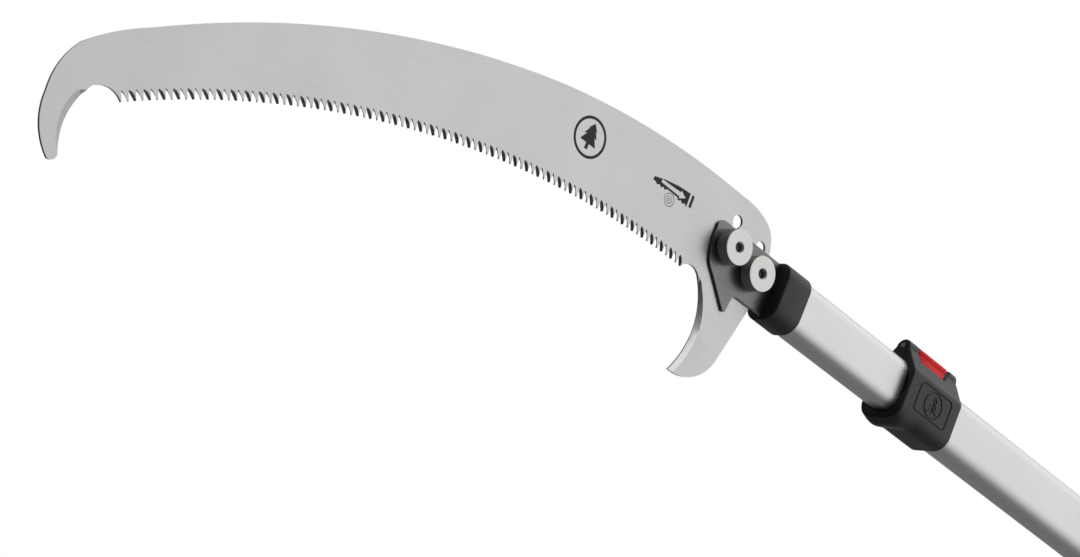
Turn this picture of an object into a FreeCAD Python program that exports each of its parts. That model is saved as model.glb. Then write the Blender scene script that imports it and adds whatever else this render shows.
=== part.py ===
import FreeCAD, Part
import math
import os
import Sketcher

# Telescoping pole saw, millimetres.
# +Z runs along the pole from the butt to the blade, the saw's front faces -Y,
# and the blade curves from the pole axis towards -X.

os.makedirs("parts", exist_ok=True)
V = FreeCAD.Vector
doc = FreeCAD.newDocument("PoleSaw")
sheet = doc.addObject("Spreadsheet::Sheet", "Sheet")

DIMS = {
    # pole: three nested oval tubes
    "tube_wall": 1.0,
    "top_wide": 30.0,
    "top_thick": 20.0,
    "top_corner": 7.5,
    "mid_wide": 32.8,
    "mid_thick": 22.8,
    "mid_corner": 8.9,
    "low_wide": 35.6,
    "low_thick": 25.6,
    "low_corner": 10.3,
    "top_foot": 86.3,
    "top_length": 1475.1,
    "mid_foot": 56.0,
    "mid_length": 1387.2,
    "low_foot": 24.0,
    "low_length": 1219.8,
    "stop_pitch": 150.0,
    "stop_count": 8.0,
    "stop_hole": 4.8,
    # clamps: measured from each clamp's butt end
    "upper_clamp_z": 1416.2,
    "lower_clamp_z": 1216.8,
    "clamp_length": 43.2,
    "clamp_step": 1.4,
    "clamp_seat": 27.2,
    "lip_length": 7.2,
    "lip_reach": 3.0,
    "pivot_x": 22.0,
    "pivot_z": 22.5,
    "pivot_dia": 2.6,
    "lock_z": 31.0,
    "lock_dia": 4.0,
    "lock_tip": 15.4,
    "lock_length": 8.9,
    "spring_z": 17.0,
    "spring_dia": 3.2,
    "spring_wire": 0.5,
    "screw_z": 13.0,
    "screw_dia": 3.4,
    # head
    "stud_z": 1600.0,
    "stud_x": 4.9,
    "stud_gap_x": 3.8,
    "stud_gap_z": 20.7,
    "plate_thick": 1.2,
    "plate_front": 1.9,
    "blade_front": 0.4,
    "blade_thick": 1.5,
    "nut_dia": 19.0,
    "nut_front": 9.5,
    "nut_height": 7.4,
    "thread_dia": 5.0,
    "thread_gap": 0.05,
    "neck_dia": 4.0,
    "key_square": 5.04,
    "key_thick": 0.4,
    "stud_head": 6.2,
    "stud_head_thick": 1.8,
    "slot_wide": 4.6,
    "key_radius": 3.4,
    "key_travel": 15.2,
    "tooth_count": 92.0,
    "tooth_depth": 4.8,
    "tip_radius": 530.0,
    "collar_wide": 33.2,
    "collar_thick": 22.6,
    "collar_corner": 9.2,
    "collar_z": 1545.0,
    "collar_length": 18.4,
    "plug_length": 62.0,
    "tang_length": 56.0,
    "rivet_dia": 4.0,
    # butt
    "cap_wide": 40.0,
    "cap_thick": 30.0,
    "cap_corner": 12.0,
    "cap_height": 24.0,
    "spigot_length": 26.7,
    "hang_radius": 4.0,
    "hang_z": 12.0,
    "grip_length": 210.0,
    "grip_wall": 2.2,
}

for row, (alias, value) in enumerate(DIMS.items(), start=1):
    sheet.set("A%d" % row, alias)
    sheet.set("B%d" % row, str(value))
    sheet.setAlias("B%d" % row, alias)
doc.recompute()


def dim(alias):
    return float(sheet.get(alias))


SUBPARTS = []


def keep(obj, label):
    obj.Label = label
    SUBPARTS.append(obj)
    return obj


def new_body(label):
    body = doc.addObject("PartDesign::Body", label)
    return keep(body, label)


def new_sketch(body, role, offset=0.0, name="Outline"):
    sketch = body.newObject("Sketcher::SketchObject", name)
    plane = [f for f in body.Origin.OriginFeatures if f.Role == role][0]
    sketch.AttachmentSupport = [(plane, "")]
    sketch.MapMode = "FlatFace"
    sketch.AttachmentOffset = FreeCAD.Placement(V(0, 0, offset), FreeCAD.Rotation())
    return sketch


def outline(sketch, start, steps):
    """Closed outline: a step is (end,) for a line or (middle, end) for an arc."""
    here = V(start[0], start[1], 0)
    for step in steps:
        end = V(step[-1][0], step[-1][1], 0)
        if len(step) == 1:
            sketch.addGeometry(Part.LineSegment(here, end))
        else:
            middle = V(step[0][0], step[0][1], 0)
            sketch.addGeometry(Part.Arc(here, middle, end))
        here = end


def circle(sketch, x, y, radius):
    sketch.addGeometry(Part.Circle(V(x, y, 0), V(0, 0, 1), radius))


def box_outline(sketch, x0, y0, x1, y1):
    outline(sketch, (x0, y0), [((x1, y0),), ((x1, y1),), ((x0, y1),), ((x0, y0),)])


def oval(sketch, wide, thick, corner):
    """Rounded rectangle about the sketch origin; the three sizes are expressions."""
    values = [sketch.evalExpression(text) for text in (wide, thick, corner)]
    values = [float(getattr(value, "Value", value)) for value in values]
    a = values[0] / 2
    b = values[1] / 2
    r = values[2]
    corners = [(a - r, r - b, -90), (a - r, b - r, 0), (r - a, b - r, 90), (r - a, r - b, 180)]
    first = len(sketch.Geometry)
    ends = [(r - a, -b, a - r, -b), (a, r - b, a, b - r), (a - r, b, r - a, b), (-a, b - r, -a, r - b)]
    for x0, y0, x1, y1 in ends:
        sketch.addGeometry(Part.LineSegment(V(x0, y0, 0), V(x1, y1, 0)))
    for x, y, turn in corners:
        arc = Part.ArcOfCircle(Part.Circle(V(x, y, 0), V(0, 0, 1), r),
                               math.radians(turn), math.radians(turn + 90))
        sketch.addGeometry(arc)
    for side in range(4):
        line = first + side
        arc = first + 4 + side
        after = first + (side + 1) % 4
        sketch.addConstraint(Sketcher.Constraint("Tangent", line, 2, arc, 1))
        sketch.addConstraint(Sketcher.Constraint("Tangent", arc, 2, after, 1))
    sketch.addConstraint(Sketcher.Constraint("Horizontal", first))
    sketch.addConstraint(Sketcher.Constraint("Horizontal", first + 2))
    sketch.addConstraint(Sketcher.Constraint("Vertical", first + 1))
    sketch.addConstraint(Sketcher.Constraint("Vertical", first + 3))
    for side in range(1, 4):
        sketch.addConstraint(Sketcher.Constraint("Equal", first + 4, first + 4 + side))
    sketch.addConstraint(Sketcher.Constraint("Symmetric", first + 4, 3, first + 6, 3, -1, 1))
    names = ["wide%d" % first, "thick%d" % first, "corner%d" % first]
    made = [Sketcher.Constraint("Distance", first + 1, 1, first + 3, values[0]),
            Sketcher.Constraint("Distance", first, 1, first + 2, values[1]),
            Sketcher.Constraint("Radius", first + 4, r)]
    for name, constraint, text in zip(names, made, (wide, thick, corner)):
        index = sketch.addConstraint(constraint)
        sketch.renameConstraint(index, name)
        sketch.setExpression("Constraints." + name, text)


def pad(body, sketch, length, midplane=False, reverse=False):
    feature = body.newObject("PartDesign::Pad", "Pad")
    feature.Profile = sketch
    feature.Midplane = midplane
    feature.Reversed = reverse
    if isinstance(length, str):
        feature.setExpression("Length", length)
    else:
        feature.Length = length
    body.Tip = feature
    doc.recompute()
    return feature


def pocket(body, sketch, length=None, midplane=False, reverse=False):
    feature = body.newObject("PartDesign::Pocket", "Pocket")
    feature.Profile = sketch
    feature.Midplane = midplane
    feature.Reversed = reverse
    if length is None:
        feature.Type = "ThroughAll"
    elif isinstance(length, str):
        feature.setExpression("Length", length)
    else:
        feature.Length = length
    before = body.Shape.Volume
    body.Tip = feature
    doc.recompute()
    if body.Shape.Volume > before - 0.01:
        raise RuntimeError("%s: a pocket cut nothing" % body.Label)
    return feature


def cylinder(label, radius, height, base, axis, kept=False):
    """Part cylinder; radius and height are expressions."""
    item = doc.addObject("Part::Cylinder", label)
    item.setExpression("Radius", radius)
    item.setExpression("Height", height)
    item.Placement = FreeCAD.Placement(V(*base), FreeCAD.Rotation(V(0, 0, 1), V(*axis)))
    if kept:
        keep(item, label)
    return item


def fuse(label, items):
    joined = doc.addObject("Part::MultiFuse", label)
    joined.Shapes = items
    return keep(joined, label)


# ---------------------------------------------------------------- tubes


def tube(label, key, stops=None, screws=None):
    body = new_body(label)
    wide = "Sheet.%s_wide" % key
    thick = "Sheet.%s_thick" % key
    corner = "Sheet.%s_corner" % key
    sketch = new_sketch(body, "XY_Plane", dim(key + "_foot"))
    oval(sketch, wide, thick, corner)
    oval(sketch, wide + " - 2 * Sheet.tube_wall", thick + " - 2 * Sheet.tube_wall",
         corner + " - Sheet.tube_wall")
    pad(body, sketch, "Sheet.%s_length" % key)
    if stops:
        holes = new_sketch(body, "YZ_Plane", dim(key + "_wide") / 2 + 1, "Stops")
        for index in range(int(dim("stop_count"))):
            circle(holes, 0, stops - index * dim("stop_pitch"), dim("stop_hole") / 2)
        pocket(body, holes, 4.0)
    if screws:
        screw_holes = new_sketch(body, "XZ_Plane", -dim(key + "_thick") / 2 - 1, "ScrewHoles")
        for x in (-5.5, 5.5):
            circle(screw_holes, x, screws + dim("screw_z"), dim("screw_dia") / 2)
        pocket(body, screw_holes, 4.0, reverse=True)
    return body


def rivet_holes(body, role_offset, height, radius):
    holes = new_sketch(body, "XZ_Plane", role_offset, "RivetHoles")
    for z in height:
        circle(holes, 0, z, radius)
    pocket(body, holes, None, midplane=True)


RIVETS = [dim("collar_z") + 4.5, dim("collar_z") + 12.0]
upper_lock = dim("upper_clamp_z") + dim("lock_z")
lower_lock = dim("lower_clamp_z") + dim("lock_z")
tube_top = tube("tube_top", "top", upper_lock)
rivet_holes(tube_top, 0, RIVETS, dim("rivet_dia") / 2 + 0.05)
tube("tube_middle", "mid", lower_lock, dim("upper_clamp_z"))
tube("tube_bottom", "low", None, dim("lower_clamp_z"))

# ---------------------------------------------------------------- clamps


def clamp_section(sketch, step, lip=0.0):
    """Sleeve with a raised ridge on its +X edge for the release button."""
    left = -10.8
    right = 8.4 + step
    side = 15.0 + step
    back = -18.6 - step - lip
    ridge = 22.9 + step
    round_x = -16.2 - step - 0.7 * lip
    round_y = 12.3 + step - 0.1 * lip
    outline(sketch, (left, -side), [
        ((right, -side),),
        ((right + 2.1, -side + 0.65), (right + 3.8, -side + 2.1)),
        ((ridge, -5.0),),
        ((ridge + 5.0, 0.0), (ridge, 5.0)),
        ((right + 3.8, side - 2.1),),
        ((right + 2.1, side - 0.65), (right, side)),
        ((left, side),),
        ((round_x, round_y), (back, 6.0)),
        ((back, -6.0),),
        ((round_x, -round_y), (left, -side)),
    ])


def clamp_body(label, key, inner, outer, step):
    z0 = dim(key + "_clamp_z")
    length = dim("clamp_length")
    body = new_body(label)
    section = new_sketch(body, "XY_Plane", z0)
    clamp_section(section, step)
    pad(body, section, "Sheet.clamp_length - Sheet.lip_length")
    mouth_end = new_sketch(body, "XY_Plane", z0 + length - dim("lip_length"), "MouthEnd")
    clamp_section(mouth_end, step, dim("lip_reach"))
    pad(body, mouth_end, "Sheet.lip_length")
    side = 15.0 + step
    seat = new_sketch(body, "XY_Plane", z0, "Seat")
    oval(seat, "Sheet.%s_wide + 0.2" % outer, "Sheet.%s_thick + 0.2" % outer,
         "Sheet.%s_corner + 0.1" % outer)
    pocket(body, seat, "Sheet.clamp_seat", reverse=True)
    mouth = new_sketch(body, "XY_Plane", z0, "Mouth")
    oval(mouth, "Sheet.%s_wide + 0.8" % inner, "Sheet.%s_thick + 0.8" % inner,
         "Sheet.%s_corner + 0.4" % inner)
    pocket(body, mouth, None, reverse=True)
    slot = new_sketch(body, "XZ_Plane", 0, "ButtonSlot")
    floor = 17.4 + step
    crown = 30.0 + step
    outline(slot, (floor, z0 + 11.0), [
        ((crown, z0 + 2.6),),
        ((crown, z0 + 34.8),),
        ((floor, z0 + 34.8),),
        ((floor, z0 + 11.0),),
    ])
    pocket(body, slot, None, midplane=True)
    for name, low, high in (("FrontFloor", -15.0, -5.9), ("BackFloor", 5.9, 15.0)):
        side_floor = new_sketch(body, "YZ_Plane", floor + 0.5, name)
        box_outline(side_floor, low, z0 + 12.0, high, z0 + 34.8)
        pocket(body, side_floor, 2.0)
    lug = new_sketch(body, "XZ_Plane", 0, "Lug")
    half = 2.0
    pin_x = dim("pivot_x") + step
    pin_z = z0 + dim("pivot_z")
    outline(lug, (floor - 0.3, pin_z - half), [
        ((pin_x, pin_z - half),),
        ((pin_x + half, pin_z), (pin_x, pin_z + half)),
        ((floor - 0.3, pin_z + half),),
        ((floor - 0.3, pin_z - half),),
    ])
    pad(body, lug, 4.0, midplane=True)
    eye = new_sketch(body, "XZ_Plane", 0, "PivotEye")
    circle(eye, pin_x, pin_z, dim("pivot_dia") / 2)
    pocket(body, eye, 4.4, midplane=True)
    guide = new_sketch(body, "YZ_Plane", floor + 0.2, "LockGuide")
    circle(guide, 0, z0 + dim("lock_z") + 0.3, 3.3)
    pocket(body, guide, 3.0)
    emblem = new_sketch(body, "XZ_Plane", side, "Emblem")
    for inset in (0.0, 0.9):
        box_outline(emblem, -10.0 + inset, z0 + 7.2 + inset, 7.6 - inset, z0 + 35.2 - inset)
    pocket(body, emblem, 0.4)
    screws = new_sketch(body, "XZ_Plane", -side - 1, "ScrewHoles")
    for x in (-5.5, 5.5):
        circle(screws, x, z0 + dim("screw_z"), dim("screw_dia") / 2)
    pocket(body, screws, 8.0 + step, reverse=True)
    return body


def button(label, key, step):
    """Rocker cap that fills the slot in the clamp's ridge, flush with its flanks."""
    z0 = dim(key + "_clamp_z")
    body = new_body(label)
    section = new_sketch(body, "XY_Plane", z0)
    ridge = 22.9 + step
    low = 18.0 + step
    flank = 8.55
    outline(section, (low, -flank), [
        ((ridge, -4.9),),
        ((ridge + 4.9, 0.0), (ridge, 4.9)),
        ((low, flank),),
        ((low, -flank),),
    ])
    pad(body, section, 34.1)
    trim = new_sketch(body, "XZ_Plane", 0, "Rake")
    outline(trim, (low - 1, z0 - 1), [
        ((ridge + 6, z0 - 1),),
        ((ridge + 6, z0 + 7.0),),
        ((ridge + 4.4, z0 + 7.7), (ridge + 3.6, z0 + 8.6)),
        ((low, z0 + 14.7),),
        ((low - 1, z0 + 14.7),),
        ((low - 1, z0 - 1),),
    ])
    pocket(body, trim, None, midplane=True)
    heel = new_sketch(body, "XZ_Plane", 0, "HeelChamfer")
    outline(heel, (low - 0.5, z0 + 32.9), [
        ((low, z0 + 32.9),),
        ((low + 1.3, z0 + 34.2),),
        ((low - 0.5, z0 + 34.2),),
        ((low - 0.5, z0 + 32.9),),
    ])
    pocket(body, heel, None, midplane=True)
    belly = new_sketch(body, "YZ_Plane", low + 1.2, "Belly")
    box_outline(belly, -6.5, z0 - 1, 6.5, z0 + 36)
    pocket(body, belly, 3.0)
    saddle = new_sketch(body, "XZ_Plane", 0, "Saddle")
    pin_x = dim("pivot_x") + step
    pin_z = z0 + dim("pivot_z")
    half = 3.1
    outline(saddle, (low - 1, pin_z - half), [
        ((pin_x, pin_z - half),),
        ((pin_x + 2.6, pin_z), (pin_x, pin_z + half)),
        ((low - 1, pin_z + half),),
        ((low - 1, pin_z - half),),
    ])
    pocket(body, saddle, 4.7, midplane=True)
    eye = new_sketch(body, "XZ_Plane", 4.4, "PivotBore")
    circle(eye, pin_x, pin_z, dim("pivot_dia") / 2 + 0.05)
    pocket(body, eye, 14.0)
    seats = new_sketch(body, "YZ_Plane", low - 1, "Seats")
    circle(seats, 0, z0 + dim("lock_z"), dim("lock_dia") / 2)
    circle(seats, 0, z0 + dim("spring_z"), dim("spring_dia") / 2 + 0.35)
    pocket(body, seats, 7.3, reverse=True)
    return body


def lock_parts(name, key, step):
    z0 = dim(key + "_clamp_z")
    cylinder(name + "_button_pin", "Sheet.pivot_dia / 2", "9.4 mm",
             (dim("pivot_x") + step, -4.2, z0 + dim("pivot_z")), (0, 1, 0), kept=True)
    cylinder(name + "_lock_pin", "Sheet.lock_dia / 2", "Sheet.lock_length",
             (dim("lock_tip") + step, 0, z0 + dim("lock_z")), (1, 0, 0), kept=True)
    wire = dim("spring_wire") / 2
    coil_low = 17.4 + step + wire + 0.05
    coil_high = 24.3 + step - wire - 0.05
    turns = 5.0
    helix = Part.makeHelix((coil_high - coil_low) / turns, coil_high - coil_low,
                           dim("spring_dia") / 2 - wire)
    start = V(dim("spring_dia") / 2 - wire, 0, 0)
    ring = Part.Wire(Part.Circle(start, V(0, 1, 0), wire).toShape())
    coil = Part.Wire(helix).makePipeShell([ring], True, True)
    spring = doc.addObject("Part::Feature", name + "_button_spring")
    spring.Shape = coil
    spring.Placement = FreeCAD.Placement(V(coil_low, 0, z0 + dim("spring_z")),
                                         FreeCAD.Rotation(V(0, 0, 1), V(1, 0, 0)))
    keep(spring, name + "_button_spring")
    items = []
    for x in (-5.5, 5.5):
        shank = cylinder(name + "Shank", "Sheet.screw_dia / 2 - 0.05", "5 mm",
                         (x, 10.5 + step, z0 + dim("screw_z")), (0, 1, 0))
        head = cylinder(name + "Head", "Sheet.screw_dia - 0.4", "1.2 mm",
                        (x, 15.0 + step, z0 + dim("screw_z")), (0, 1, 0))
        items += [shank, head]
    fuse(name + "_clamp_screws", items)


STEP = dim("clamp_step")
clamp_body("upper_clamp", "upper", "top", "mid", 0.0)
button("upper_button", "upper", 0.0)
lock_parts("upper", "upper", 0.0)
clamp_body("lower_clamp", "lower", "mid", "low", STEP)
button("lower_button", "lower", STEP)
lock_parts("lower", "lower", STEP)

# ---------------------------------------------------------------- head

STUD_X = dim("stud_x")
STUD_Z = dim("stud_z")
STUDS = [(STUD_X, STUD_Z), (STUD_X - dim("stud_gap_x"), STUD_Z - dim("stud_gap_z"))]


def at(x, z):
    """Head outlines are laid out from the upper stud."""
    return (STUD_X + x, STUD_Z + z)


def steps_at(steps):
    return [tuple(at(*point) for point in step) for step in steps]


blade = new_body("blade")
sheet_outline = new_sketch(blade, "XZ_Plane", dim("blade_front"))
TIP_R = dim("tip_radius")
HUB = (-553.9, 33.1)
PITCH = math.radians(0.3938)
FIRST = math.radians(-1.016)


def on_arc(radius, angle):
    return (HUB[0] + radius * math.cos(angle), HUB[1] + radius * math.sin(angle))


last = FIRST + PITCH * dim("tooth_count")
outline(sheet_outline, at(*on_arc(TIP_R, FIRST)), steps_at([
    # line of the tooth tips, then the throat and the tip hook
    (on_arc(TIP_R, (FIRST + last) / 2), on_arc(TIP_R, last)),
    ((-118.5, 345.0), (-120.5, 352.0)),
    ((-122.3, 354.1), (-125.0, 355.2)),
    ((-139.0, 358.0), (-155.5, 354.2)),
    ((-158.3, 354.8), (-159.5, 357.8)),
    ((-149.0, 367.6), (-135.0, 371.7)),
    ((-121.0, 371.8), (-108.0, 366.8)),
    # convex back and rounded heel
    ((-97.0, 356.2), (-85.0, 340.9)),
    ((-28.0, 250.0), (16.0, 130.0)),
    ((26.4, 65.0), (28.4, 5.0)),
    ((28.4, -3.0), (27.7, -9.6)),
    ((22.2, -22.8), (10.3, -28.4)),
    ((-19.3, -28.8),),
    # horn below the teeth
    ((-52.0, -21.3),),
    ((-66.6, -13.2), (-72.9, 1.5)),
    ((-72.9, 6.1),),
    ((-50.0, 0.0), (-25.0, 8.5)),
    ((-22.7, 10.4),),
    ((-19.9, 16.3), on_arc(TIP_R, FIRST)),
]))
pad(blade, sheet_outline, "Sheet.blade_thick", reverse=True)
gullets = new_sketch(blade, "XZ_Plane", 0, "Gullets")
root = TIP_R + dim("tooth_depth")
for index in range(int(dim("tooth_count"))):
    tip = FIRST + PITCH * index
    # each tooth leans to the handle, so the gullet above it is raked as well
    outline(gullets, at(*on_arc(TIP_R - 1.0, tip + PITCH * 0.02)), steps_at([
        (on_arc(TIP_R, tip + PITCH * 0.04),),
        (on_arc(root, tip + PITCH * 0.74),),
        (on_arc(root, tip + PITCH * 0.86),),
        (on_arc(TIP_R, tip + PITCH * 0.96),),
        (on_arc(TIP_R - 1.0, tip + PITCH * 0.98),),
        (on_arc(TIP_R - 1.0, tip + PITCH * 0.02),),
    ]))
pocket(blade, gullets, None, midplane=True)
keyholes = new_sketch(blade, "XZ_Plane", 0, "Keyholes")
half_slot = dim("slot_wide") / 2
reach = dim("key_travel")
mouth_x = reach - math.sqrt(dim("key_radius") ** 2 - half_slot ** 2)
for x, z in STUDS:
    outline(keyholes, (x, z - half_slot), [
        ((x + mouth_x, z - half_slot),),
        ((x + reach + dim("key_radius"), z), (x + mouth_x, z + half_slot)),
        ((x, z + half_slot),),
        ((x - half_slot, z), (x, z - half_slot)),
    ])
pocket(blade, keyholes, None, midplane=True)

plate = new_body("head_plate")
face = new_sketch(plate, "XZ_Plane", dim("plate_front"))
neck = dim("collar_z") + dim("collar_length") - STUD_Z + 0.3
tang = neck - dim("tang_length")
outline(face, at(10.4, neck), steps_at([
    ((10.6, 7.5),),
    ((9.4, 11.2), (5.0, 12.4)),
    ((-5.5, 11.6), (-13.2, 8.6)),
    ((-15.4, 6.2), (-17.4, 3.6)),
    ((-28.6, -9.0),),
    ((-30.6, -12.2), (-28.6, -13.4)),
    ((-23.2, -13.9),),
    ((-20.8, -15.2), (-19.9, -18.0)),
    ((-19.9, neck),),
    ((-15.9, neck),),
    ((-15.9, tang),),
    ((6.1, tang),),
    ((6.1, neck),),
    ((10.4, neck),),
]))
pad(plate, face, "Sheet.plate_thick", reverse=True)
square = new_sketch(plate, "XZ_Plane", 0, "StudHoles")
for x, z in STUDS:
    side = dim("key_square") / 2 + 0.08
    box_outline(square, x - side, z - side, x + side, z + side)
for z in RIVETS:
    circle(square, 0, z, dim("rivet_dia") / 2 + 0.05)
pocket(plate, square, None, midplane=True)

for index, (x, z) in enumerate(STUDS):
    name = ("upper", "lower")[index]
    screw = new_body(name + "_stud")
    head = new_sketch(screw, "XZ_Plane", -(dim("blade_thick") - dim("blade_front") + 0.3), "Head")
    circle(head, x, z, dim("stud_head") / 2)
    pad(screw, head, "Sheet.stud_head_thick", reverse=True)
    key_front = dim("plate_front") + 0.05
    key_back = key_front - dim("key_thick")
    shank = new_sketch(screw, "XZ_Plane", -1.5, "Neck")
    circle(shank, x, z, dim("neck_dia") / 2)
    pad(screw, shank, 1.5 + key_back)
    key = new_sketch(screw, "XZ_Plane", key_back, "SquareKey")
    side = dim("key_square") / 2
    box_outline(key, x - side, z - side, x + side, z + side)
    pad(screw, key, "Sheet.key_thick")
    thread = new_sketch(screw, "XZ_Plane", key_front, "Thread")
    circle(thread, x, z, dim("thread_dia") / 2)
    pad(screw, thread, "Sheet.nut_front - Sheet.plate_front - 2.15")
    nut_base = dim("nut_front") - dim("nut_height")
    outer = cylinder(name + "NutBlank", "Sheet.nut_dia / 2", "Sheet.nut_height",
                     (x, -nut_base, z), (0, -1, 0))
    bore = cylinder(name + "NutBore", "Sheet.thread_dia / 2 + Sheet.thread_gap",
                    "Sheet.nut_height + 4", (x, -nut_base + 2, z), (0, -1, 0))
    drilled = doc.addObject("Part::Cut", name + "NutDrilled")
    drilled.Base = outer
    drilled.Tool = bore
    doc.recompute()
    nut = doc.addObject("Part::Chamfer", name + "_nut")
    nut.Base = drilled
    rims = []
    for number, edge in enumerate(drilled.Shape.Edges, start=1):
        curve = edge.Curve
        if isinstance(curve, Part.Circle) and curve.Radius > 9:
            rims.append((number, 0.35, 0.35))
    nut.Edges = rims
    keep(nut, name + "_nut")

collar = new_body("collar")
rim = new_sketch(collar, "XY_Plane", dim("collar_z"))
oval(rim, "Sheet.collar_wide", "Sheet.collar_thick", "Sheet.collar_corner")
pad(collar, rim, "Sheet.collar_length")
bore = new_sketch(collar, "XY_Plane", dim("collar_z"), "TubeBore")
oval(bore, "Sheet.top_wide + 0.1", "Sheet.top_thick + 0.1", "Sheet.top_corner + 0.05")
pocket(collar, bore, "Sheet.collar_length - 1.9", reverse=True)
slit = new_sketch(collar, "XY_Plane", dim("collar_z"), "TangSlit")
box_outline(slit, -11.1, -dim("plate_front") - 0.05, 11.1, -0.65)
pocket(collar, slit, None, reverse=True)

plug = new_body("head_plug")
plug_z = dim("collar_z") + dim("collar_length") - 2.0 - dim("plug_length")
core = new_sketch(plug, "XY_Plane", plug_z)
oval(core, "Sheet.top_wide - 2 * Sheet.tube_wall - 0.1", "Sheet.top_thick - 2 * Sheet.tube_wall - 0.1",
     "Sheet.top_corner - Sheet.tube_wall")
pad(plug, core, "Sheet.plug_length")
slit = new_sketch(plug, "XY_Plane", plug_z + 4.0, "TangSlit")
box_outline(slit, -11.1, -dim("plate_front") - 0.05, 11.1, -0.65)
pocket(plug, slit, "Sheet.plug_length", reverse=True)
rivet_holes(plug, 0, RIVETS, dim("rivet_dia") / 2 + 0.05)

fuse("head_rivets", [
    cylinder("Rivet", "Sheet.rivet_dia / 2", "Sheet.top_thick", (0, -dim("top_thick") / 2, z), (0, 1, 0))
    for z in RIVETS])

# ---------------------------------------------------------------- feet, grip and butt


def foot(label, key, room):
    """Guide plug in a tube's lower end; its flange runs inside the next tube."""
    body = new_body(label)
    z = dim(key + "_foot")
    flange = new_sketch(body, "XY_Plane", z - 5.0)
    oval(flange, "Sheet.%s_wide - 2 * Sheet.tube_wall - 0.6" % room,
         "Sheet.%s_thick - 2 * Sheet.tube_wall - 0.6" % room,
         "Sheet.%s_corner - Sheet.tube_wall - 0.3" % room)
    pad(body, flange, 4.9)
    stem = new_sketch(body, "XY_Plane", z - 1.0, "Stem")
    oval(stem, "Sheet.%s_wide - 2 * Sheet.tube_wall - 0.1" % key,
         "Sheet.%s_thick - 2 * Sheet.tube_wall - 0.1" % key,
         "Sheet.%s_corner - Sheet.tube_wall" % key)
    pad(body, stem, 26.0)
    return body


foot("top_foot_guide", "top", "mid")
foot("middle_foot_guide", "mid", "low")

grip = new_body("grip")
ring = new_sketch(grip, "XY_Plane", dim("low_foot") + 0.4)
oval(ring, "Sheet.low_wide + 2 * Sheet.grip_wall", "Sheet.low_thick + 2 * Sheet.grip_wall",
     "Sheet.low_corner + Sheet.grip_wall")
oval(ring, "Sheet.low_wide", "Sheet.low_thick", "Sheet.low_corner")
pad(grip, ring, "Sheet.grip_length")

cap = new_body("butt_cap")
block = new_sketch(cap, "XY_Plane", 0)
oval(block, "Sheet.cap_wide", "Sheet.cap_thick", "Sheet.cap_corner")
pad(cap, block, "Sheet.cap_height - 0.1")
stem = new_sketch(cap, "XY_Plane", dim("cap_height") - 1.0, "Stem")
oval(stem, "Sheet.low_wide - 2 * Sheet.tube_wall - 0.1", "Sheet.low_thick - 2 * Sheet.tube_wall - 0.1",
     "Sheet.low_corner - Sheet.tube_wall")
pad(cap, stem, "Sheet.spigot_length + 1")
hang = new_sketch(cap, "XZ_Plane", 0, "HangHole")
circle(hang, 0, dim("hang_z"), dim("hang_radius"))
pocket(cap, hang, None, midplane=True)

# ---------------------------------------------------------------- check and write

doc.recompute()
for obj in doc.Objects:
    if "Invalid" in obj.State or "Error" in obj.State:
        raise RuntimeError("%s is %s" % (obj.Label, obj.State))

for obj in SUBPARTS:
    shape = obj.Shape
    if shape.isNull() or not shape.isValid():
        raise RuntimeError("%s has no valid shape" % obj.Label)
    shape.exportStep("parts/%s.step" % obj.Label)
    size = shape.BoundBox
    print("%-22s %8.0f mm3  %6.1f x %5.1f x %6.1f  solids %d" % (
        obj.Label, shape.Volume, size.XLength, size.YLength, size.ZLength, len(shape.Solids)))
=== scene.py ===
import math

import bmesh
import bpy
import numpy as np
from mathutils import Matrix, Vector
from mathutils.geometry import delaunay_2d_cdt


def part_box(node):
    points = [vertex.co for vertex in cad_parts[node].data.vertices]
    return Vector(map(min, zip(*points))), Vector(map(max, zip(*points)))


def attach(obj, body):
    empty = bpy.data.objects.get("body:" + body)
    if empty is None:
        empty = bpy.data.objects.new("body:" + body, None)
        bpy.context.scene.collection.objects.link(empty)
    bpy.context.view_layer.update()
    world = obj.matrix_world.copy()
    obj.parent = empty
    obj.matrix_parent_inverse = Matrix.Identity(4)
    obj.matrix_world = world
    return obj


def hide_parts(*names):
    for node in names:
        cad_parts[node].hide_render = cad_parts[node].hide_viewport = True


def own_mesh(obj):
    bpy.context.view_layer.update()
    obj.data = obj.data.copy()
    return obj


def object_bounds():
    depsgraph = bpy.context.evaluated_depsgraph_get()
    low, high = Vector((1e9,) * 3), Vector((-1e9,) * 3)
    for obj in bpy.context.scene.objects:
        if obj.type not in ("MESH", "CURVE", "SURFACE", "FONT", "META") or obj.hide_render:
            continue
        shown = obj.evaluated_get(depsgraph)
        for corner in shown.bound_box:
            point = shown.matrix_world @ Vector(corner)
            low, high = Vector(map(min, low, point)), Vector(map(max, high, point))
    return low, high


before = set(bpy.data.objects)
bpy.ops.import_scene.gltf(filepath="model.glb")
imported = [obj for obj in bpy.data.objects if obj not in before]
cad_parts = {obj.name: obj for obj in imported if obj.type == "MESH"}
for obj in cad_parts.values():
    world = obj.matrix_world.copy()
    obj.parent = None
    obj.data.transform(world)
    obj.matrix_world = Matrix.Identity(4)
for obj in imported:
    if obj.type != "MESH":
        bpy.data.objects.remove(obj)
cad_low, cad_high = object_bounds()
MM = 0.001

# Lengths in this script are millimetres until a mesh is made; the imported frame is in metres.
# +Z runs up the pole, the saw's front faces -Y, and the blade curves towards -X.


def node_box(name):
    """Lowest and highest corner of a CAD node, in millimetres."""
    low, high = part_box(name)
    return low / MM, high / MM


# ---------------------------------------------------------------- node materials


def tree(name, slot_colour):
    material = bpy.data.materials.new(name)
    material.use_nodes = True
    material.diffuse_color = (*slot_colour, 1.0)
    nodes = material.node_tree.nodes
    return material, nodes, material.node_tree.links, nodes["Principled BSDF"]


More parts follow.
